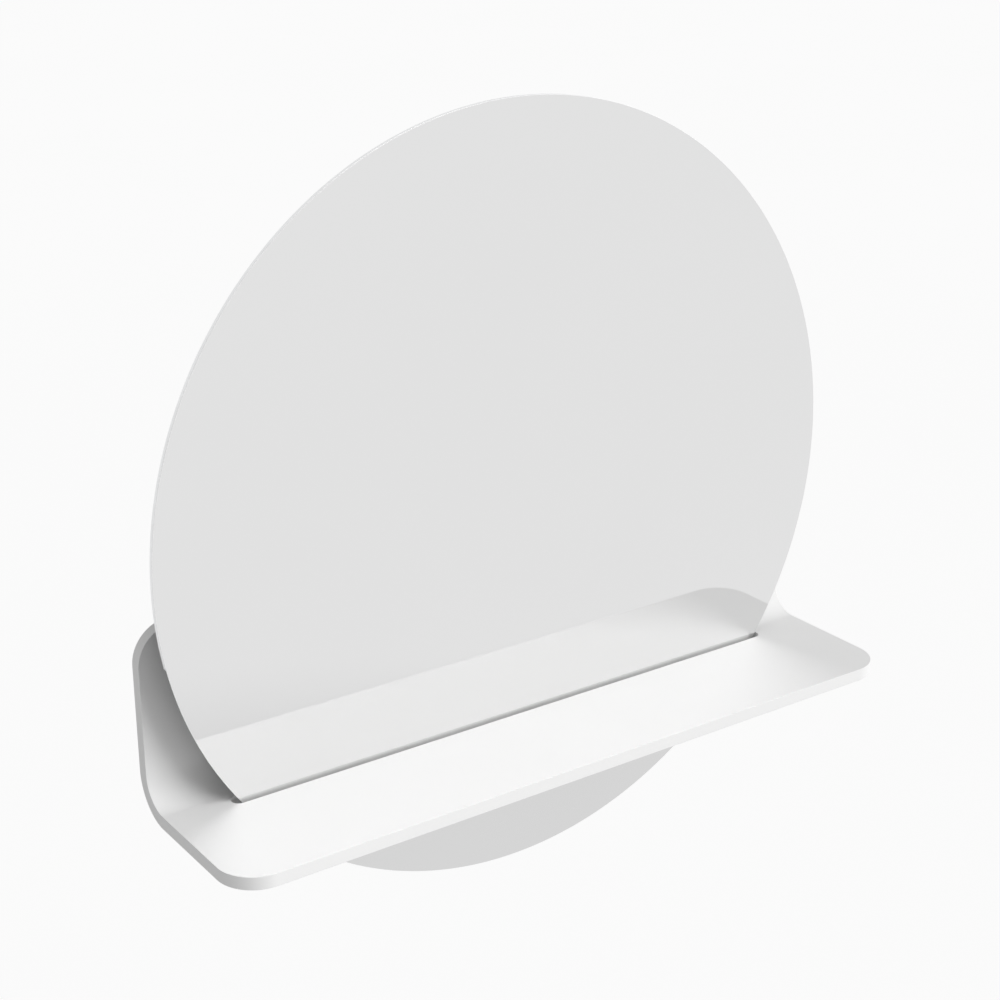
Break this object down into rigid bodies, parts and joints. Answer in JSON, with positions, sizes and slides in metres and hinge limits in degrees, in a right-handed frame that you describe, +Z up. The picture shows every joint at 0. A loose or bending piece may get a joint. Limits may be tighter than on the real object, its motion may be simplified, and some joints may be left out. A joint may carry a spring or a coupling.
{
  "type": "wall mirror with shelf",
  "caption": "Round frameless mirror standing in the slot of a white bent shelf fixed to the wall. The mirror hangs on a hidden cleat behind it and lifts out of the slot upwards.",
  "frame": {"origin": "on the wall plane: centre of the back plate's flat rear face, in the middle of the row of fixing holes", "axes": "+X to the right seen from the room, +Y into the wall (out of the back plate's rear face), +Z up"},
  "size_m": [0.6, 0.144, 0.6],
  "materials": {
    "white_mineral": "matt white acrylic-bound mineral plate, thermoformed, sanded edges",
    "polished_steel": "mirror-polished stainless steel sheet",
    "sheet_aluminium": "mill-finish aluminium sheet, rolled, satin",
    "aluminium": "mill-finish extruded aluminium",
    "zinc_steel": "zinc-plated steel",
    "key_plastic": "moulded grey nylon",
    "rubber": "soft grey silicone rubber"
  },
  "bodies": {
    "shelf": {"shelf_body": "white_mineral", "wall_cleat": "aluminium", "slot_cushion_left": "rubber", "slot_cushion_right": "rubber"},
    "mirror": {"mirror_disc": "polished_steel", "backing_panel": "sheet_aluminium", "frame_top_rail": "aluminium", "frame_bottom_rail": "aluminium", "frame_left_stile": "aluminium", "frame_right_stile": "aluminium", "corner_key_upper_left": "key_plastic", "corner_key_upper_right": "key_plastic", "corner_key_lower_left": "key_plastic", "corner_key_lower_right": "key_plastic", "mirror_cleat": "aluminium", "cleat_screw_1": "zinc_steel", "cleat_screw_2": "zinc_steel", "cleat_screw_3": "zinc_steel", "cleat_screw_4": "zinc_steel", "bumper_left": "rubber", "bumper_right": "rubber", "rivet_upper_left_1": "aluminium", "rivet_upper_left_2": "aluminium", "rivet_upper_right_1": "aluminium", "rivet_upper_right_2": "aluminium", "rivet_lower_left_1": "aluminium", "rivet_lower_left_2": "aluminium", "rivet_lower_right_1": "aluminium", "rivet_lower_right_2": "aluminium"}
  },
  "joints": [
    {"name": "mirror_lift", "type": "slide", "parent": "shelf", "child": "mirror", "axis": [0, 0, 1], "range_m": [0, 0.13]}
  ]
}
